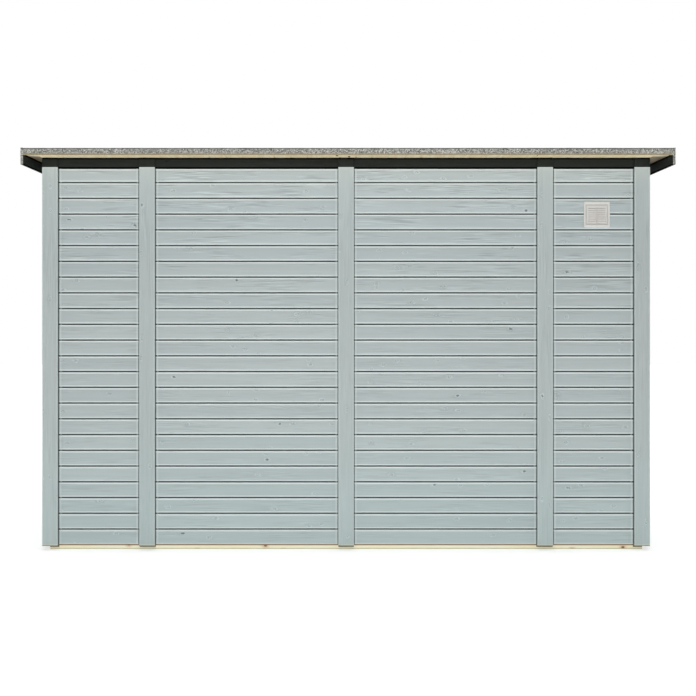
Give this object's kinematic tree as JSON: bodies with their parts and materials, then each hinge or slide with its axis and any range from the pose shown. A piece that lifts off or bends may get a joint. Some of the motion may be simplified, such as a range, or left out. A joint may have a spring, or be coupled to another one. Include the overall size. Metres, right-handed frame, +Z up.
{
  "type": "wooden garden shed",
  "caption": "Timber element shed with a low-pitched felt roof, horizontal boards, upright cover strips, a vent in the blank rear wall and a closed double door",
  "frame": {"origin": "on the ground under the middle of the roof", "axes": "+Z up, +X along the long walls, -Y out of the blank rear wall with the vent, +Y out of the front wall with the doors"},
  "size_m": [3.702, 2.646, 2.4194],
  "materials": {
    "wall_paint": "opaque light grey-green paint on horizontal planed boards",
    "strip_paint": "opaque light grey-green paint on upright strips",
    "dark_trim": "anthracite paint",
    "frame_timber": "planed natural spruce",
    "floor_timber": "planed natural spruce boards",
    "sill_timber": "pale natural spruce",
    "deck_timber": "natural spruce boards",
    "roofing_felt": "grey mineral granules on bitumen felt",
    "vent_plastic": "white moulded plastic",
    "door_iron": "black powder coat"
  },
  "bodies": {
    "root": {"floor_bearers": "sill_timber", "floor_joists": "frame_timber", "floor_boards": "floor_timber", "rear_wall_boards": "wall_paint", "rear_vent_panel": "wall_paint", "left_wall_boards": "wall_paint", "right_wall_boards": "wall_paint", "front_wall_boards": "wall_paint", "front_over_door_panel": "wall_paint", "rear_wall_plates": "frame_timber", "front_wall_plates": "frame_timber", "left_wall_plates": "frame_timber", "right_wall_plates": "frame_timber", "rear_wall_studs": "frame_timber", "front_wall_studs": "frame_timber", "left_wall_studs": "frame_timber", "right_wall_studs": "frame_timber", "rear_cover_strips": "strip_paint", "front_cover_strips": "strip_paint", "left_cover_strips": "strip_paint", "right_cover_strips": "strip_paint", "rear_frieze_boards": "dark_trim", "rear_frieze_blocks": "dark_trim", "front_frieze_board": "dark_trim", "front_frieze_blocks": "dark_trim", "left_frieze_boards": "dark_trim", "right_frieze_boards": "dark_trim", "left_frieze_blocks": "dark_trim", "right_frieze_blocks": "dark_trim", "roof_purlins": "frame_timber", "roof_deck": "deck_timber", "roofing_felt": "roofing_felt", "left_fascia": "dark_trim", "right_fascia": "dark_trim", "left_felt_skirt": "roofing_felt", "right_felt_skirt": "roofing_felt", "vent_frame": "vent_plastic", "vent_louvres": "vent_plastic", "door_jambs": "strip_paint", "door_head": "strip_paint", "door_sill": "sill_timber", "door_casings": "strip_paint", "door_leaves": "wall_paint", "door_ledges": "frame_timber", "door_hinges": "door_iron", "door_handle": "door_iron"}
  },
  "joints": []
}
